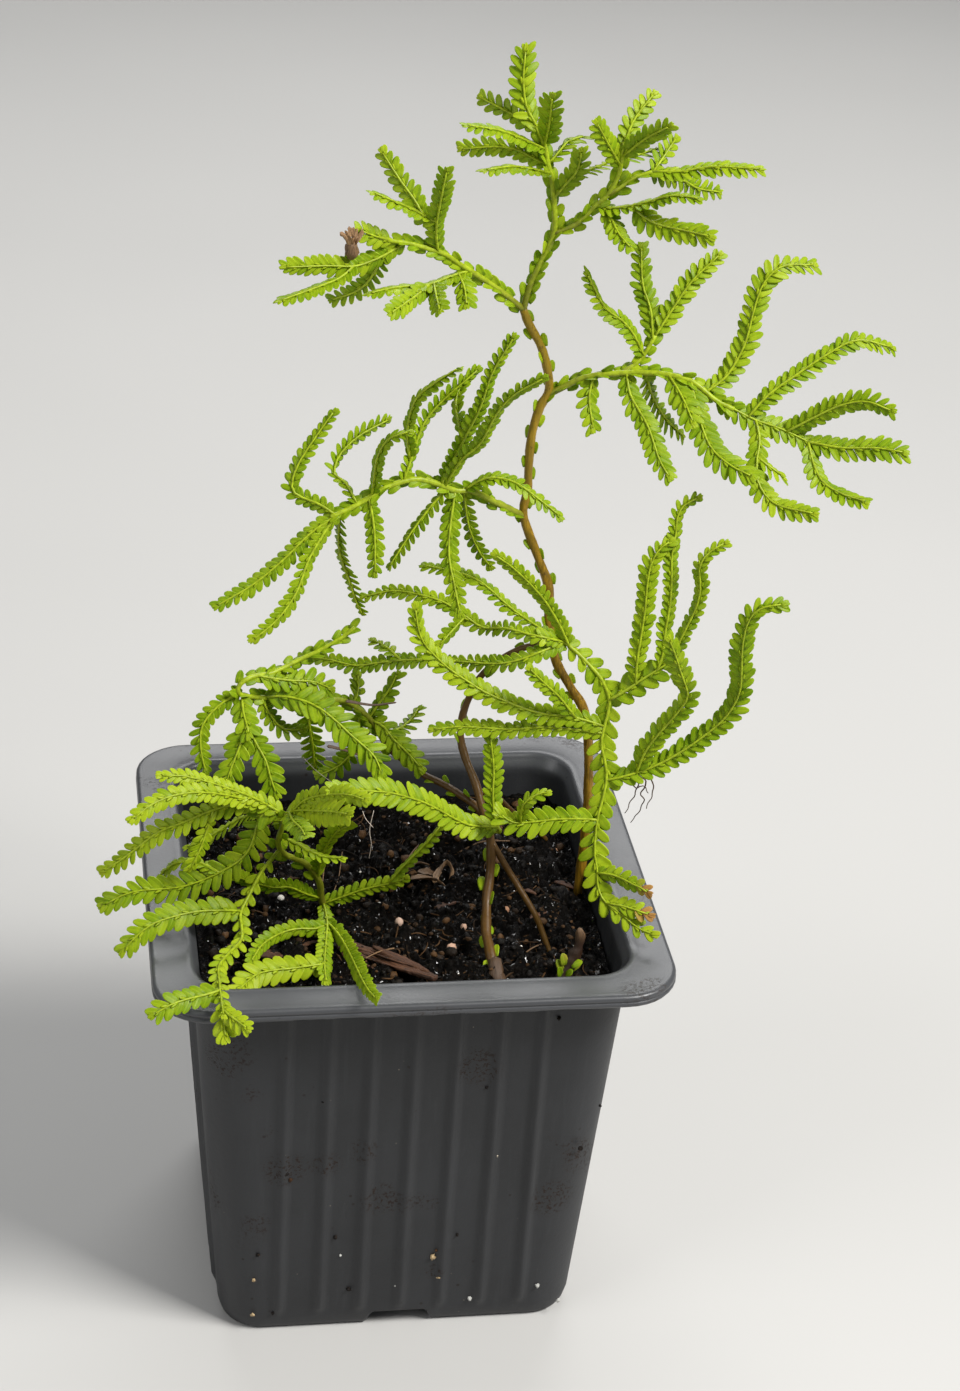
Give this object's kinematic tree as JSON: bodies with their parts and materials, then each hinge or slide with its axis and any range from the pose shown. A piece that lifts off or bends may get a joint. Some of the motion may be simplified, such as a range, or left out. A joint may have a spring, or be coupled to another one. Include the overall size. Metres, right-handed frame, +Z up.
{
  "type": "spikemoss in a nursery pot",
  "caption": "Leafy spikemoss with arching stems and flat scaly fronds, grown in a square tapered nursery pot filled with soil.",
  "frame": {"origin": "middle of the pot's underside, in the plane the pot stands on", "axes": "+Z up, the pot's sides face -Y (front), +Y, -X and +X"},
  "size_m": [0.1344, 0.0983, 0.2252],
  "materials": {
    "pot": "satin, finely scuffed",
    "soil": "damp, crumbly",
    "stem": "smooth, slightly waxy",
    "foliage": "soft, slightly waxy"
  },
  "bodies": {
    "root": {"pot": "pot", "soil": "soil", "leader_stem": "stem", "arching_stem": "stem", "crown_spray": "foliage", "upper_left_spray": "foliage", "right_spray": "foliage", "left_spray": "foliage", "right_shoot": "foliage", "low_spray": "foliage", "shade_spray": "foliage", "left_shoot": "foliage"}
  },
  "joints": []
}
